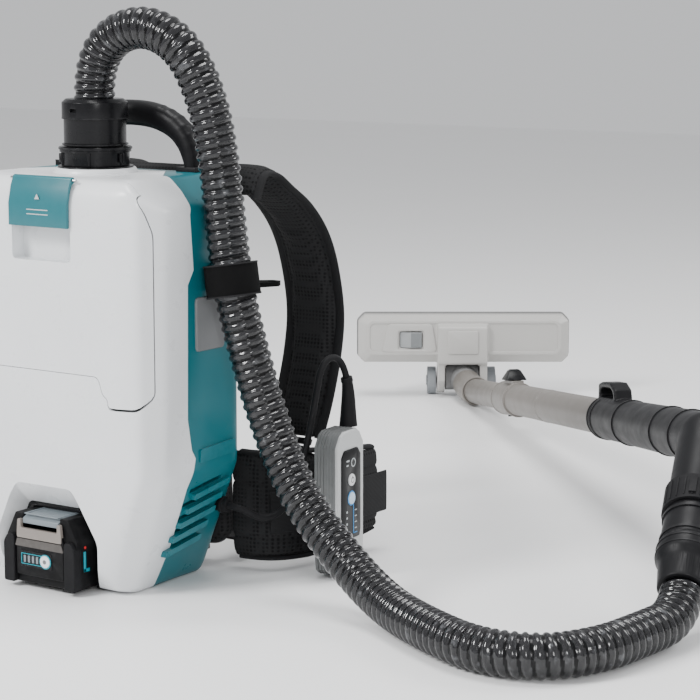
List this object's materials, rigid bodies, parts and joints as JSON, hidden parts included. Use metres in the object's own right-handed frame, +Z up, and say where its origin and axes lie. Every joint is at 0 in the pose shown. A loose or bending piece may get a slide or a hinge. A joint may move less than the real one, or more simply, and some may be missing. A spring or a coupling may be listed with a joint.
{
  "type": "backpack vacuum cleaner",
  "caption": "Cordless backpack vacuum cleaner with harness, hinged dust cover, slide-in battery, ribbed hose, wired control unit, telescopic wand and floor nozzle.",
  "frame": {"origin": "centre of the pack's flat base, on the floor", "axes": "+Z up; the front of the pack with the dust cover faces -Y and the wearer stands on the +Y side; +X is the side that the hose comes down"},
  "size_m": [0.8608, 1.1101, 0.4991],
  "materials": {
    "white_shell": "satin moulded",
    "teal_shell": "satin moulded",
    "teal_latch": "fine grain",
    "black_rubber": "matte",
    "steel": "brushed",
    "black_plastic": "satin",
    "filter_cloth": "non-woven",
    "filter_paper": "pleated",
    "grey_plastic": "matte",
    "motor_metal": "cast",
    "circuit_board": "coated",
    "battery_plastic": "satin",
    "release_grey": "fine grain",
    "taupe_trim": "satin",
    "white_key": "matte",
    "cell_wrap": "wrapped",
    "soft_grey": "matte",
    "black_handle": "fine grain",
    "mesh_fabric": "padded mesh",
    "webbing": "woven",
    "band_fabric": "hook and loop",
    "light_grey": "satin",
    "mid_grey": "ribbed",
    "panel_black": "gloss",
    "blue_key": "matte",
    "wand_grey": "satin",
    "nozzle_white": "satin",
    "nozzle_grey": "satin",
    "bristle": "bristle",
    "rocker_grey": "satin",
    "wheel_grey": "matte",
    "smoke_hose": "ribbed, smoke tinted"
  },
  "bodies": {
    "root": {"front_housing": "white_shell", "rear_housing": "teal_shell", "cover_seal": "black_rubber", "cover_hinge_pins": "steel", "inlet_port": "black_plastic", "dust_bag": "filter_cloth", "hepa_filter": "filter_paper", "fan_housing": "black_plastic", "motor_bearings": "steel", "motor_can": "motor_metal", "motor_mount": "black_rubber", "circuit_board": "circuit_board", "battery_terminal": "black_plastic", "battery_cradle": "black_plastic", "side_pads": "soft_grey", "housing_screws": "steel", "cable_gland": "black_rubber", "carry_handle": "black_handle", "back_frame": "black_plastic", "back_pad": "mesh_fabric", "shoulder_straps": "mesh_fabric", "waist_belt": "mesh_fabric", "harness_webbing": "webbing", "harness_buckles": "black_plastic", "hose_band": "band_fabric", "control_case_front": "light_grey", "control_case_back": "mid_grey", "control_panel": "panel_black", "control_strain_relief": "black_rubber", "control_clip": "black_plastic", "wand_outer_tube": "wand_grey", "grip_handle": "black_handle", "hose": "smoke_hose", "control_cable": "black_rubber"},
    "cover": {"dust_cover": "white_shell", "latch_pin": "steel"},
    "latch": {"cover_latch": "teal_latch"},
    "lock_ring": {"collar_lock_ring": "black_plastic"},
    "swivel": {"swivel_cuff": "black_plastic"},
    "rotor": {"impeller": "grey_plastic", "rotor_shaft": "steel"},
    "battery": {"battery_case": "battery_plastic", "battery_trim": "taupe_trim", "battery_cells": "cell_wrap"},
    "battery_release": {"battery_button": "release_grey"},
    "gauge_check": {"gauge_button": "white_key"},
    "power_key": {"power_button": "white_key"},
    "mode_key": {"mode_button": "blue_key"},
    "wand_lock": {"wand_lock_knob": "black_plastic"},
    "wand_inner": {"wand_inner_tube": "wand_grey", "nozzle_elbow": "wand_grey"},
    "neck": {"nozzle_neck": "nozzle_white"},
    "nozzle": {"nozzle_body": "nozzle_white", "nozzle_sole": "nozzle_grey"},
    "brush": {"brush_carrier": "bristle"},
    "rocker": {"nozzle_rocker": "rocker_grey"},
    "wheel_left": {"nozzle_wheel_left": "wheel_grey"},
    "wheel_right": {"nozzle_wheel_right": "wheel_grey"},
    "regulator": {"suction_regulator": "black_rubber"},
    "hose_cuff": {"handle_hose_cuff": "black_handle"}
  },
  "joints": [
    {"name": "dust_cover_hinge", "type": "hinge", "parent": "root", "child": "cover", "pos_m": [0, -0.0726, 0.1675], "axis": [1, 0, 0], "range_deg": [0, 95]},
    {"name": "latch_hinge", "type": "hinge", "parent": "cover", "child": "latch", "pos_m": [0, -0.07, 0.355], "axis": [-1, 0, 0], "range_deg": [0, 35]},
    {"name": "lock_ring_twist", "type": "hinge", "parent": "root", "child": "lock_ring", "pos_m": [0, -0.003, 0.371], "axis": [0, 0, 1], "range_deg": [0, 30]},
    {"name": "hose_swivel", "type": "hinge", "parent": "root", "child": "swivel", "pos_m": [0, -0.003, 0.4], "axis": [0, 0, 1], "continuous": true},
    {"name": "impeller_spin", "type": "hinge", "parent": "root", "child": "rotor", "pos_m": [0, -0.01, 0.1], "axis": [0, 0, 1], "continuous": true},
    {"name": "battery_slide", "type": "slide", "parent": "root", "child": "battery", "axis": [0, -1, 0], "range_m": [0, 0.13]},
    {"name": "battery_release_press", "type": "slide", "parent": "battery", "child": "battery_release", "axis": [0, 0, -1], "range_m": [0, 0.0035], "stiffness_N_per_m": 600},
    {"name": "gauge_press", "type": "slide", "parent": "battery", "child": "gauge_check", "axis": [0, 1, 0], "range_m": [0, 0.0012], "stiffness_N_per_m": 300},
    {"name": "power_press", "type": "slide", "parent": "root", "child": "power_key", "axis": [-0.9945, -0.1045, 0], "range_m": [0, 0.0014], "stiffness_N_per_m": 300},
    {"name": "mode_press", "type": "slide", "parent": "root", "child": "mode_key", "axis": [-0.9945, -0.1045, 0], "range_m": [0, 0.0014], "stiffness_N_per_m": 300},
    {"name": "wand_lock_slide", "type": "slide", "parent": "root", "child": "wand_lock", "axis": [0.6918, -0.7106, 0.1281], "range_m": [0, 0.0035], "stiffness_N_per_m": 500},
    {"name": "wand_telescope", "type": "slide", "parent": "root", "child": "wand_inner", "axis": [-0.6918, 0.7106, -0.1281], "range_m": [-0.15, 0.19]},
    {"name": "neck_swivel", "type": "hinge", "parent": "wand_inner", "child": "neck", "pos_m": [-0.20709, 0.93711, 0.025], "axis": [0.6809, -0.7243, -0.1088], "range_deg": [-90, 90]},
    {"name": "nozzle_tilt", "type": "hinge", "parent": "neck", "child": "nozzle", "pos_m": [-0.20586, 0.93796, 0.025], "axis": [0.8231, 0.5678, 0], "range_deg": [-80, 0]},
    {"name": "rocker_tilt", "type": "hinge", "parent": "nozzle", "child": "rocker", "pos_m": [-0.24993, 0.88387, 0.075], "axis": [0, 0, 1], "range_deg": [0, 17]},
    {"name": "brush_slide", "type": "slide", "parent": "nozzle", "child": "brush", "axis": [-0.5678, 0.8231, 0], "range_m": [0, 0.005]},
    {"name": "wheel_left_spin", "type": "hinge", "parent": "nozzle", "child": "wheel_left", "pos_m": [-0.24632, 0.92706, 0.0175], "axis": [0.8231, 0.5678, 0], "continuous": true},
    {"name": "wheel_right_spin", "type": "hinge", "parent": "nozzle", "child": "wheel_right", "pos_m": [-0.18376, 0.97021, 0.0175], "axis": [0.8231, 0.5678, 0], "continuous": true},
    {"name": "regulator_twist", "type": "hinge", "parent": "root", "child": "regulator", "pos_m": [0.503, 0.1415, 0.061], "axis": [0.2852, -0.7917, -0.5403], "range_deg": [0, 40]},
    {"name": "cuff_swivel", "type": "hinge", "parent": "root", "child": "hose_cuff", "pos_m": [0.503, 0.1415, 0.061], "axis": [0.2852, -0.7917, -0.5403], "continuous": true}
  ],
  "couplings": [
    {"joint": "rocker_tilt", "follows": "brush_slide", "rad_per_m": 55.85}
  ]
}
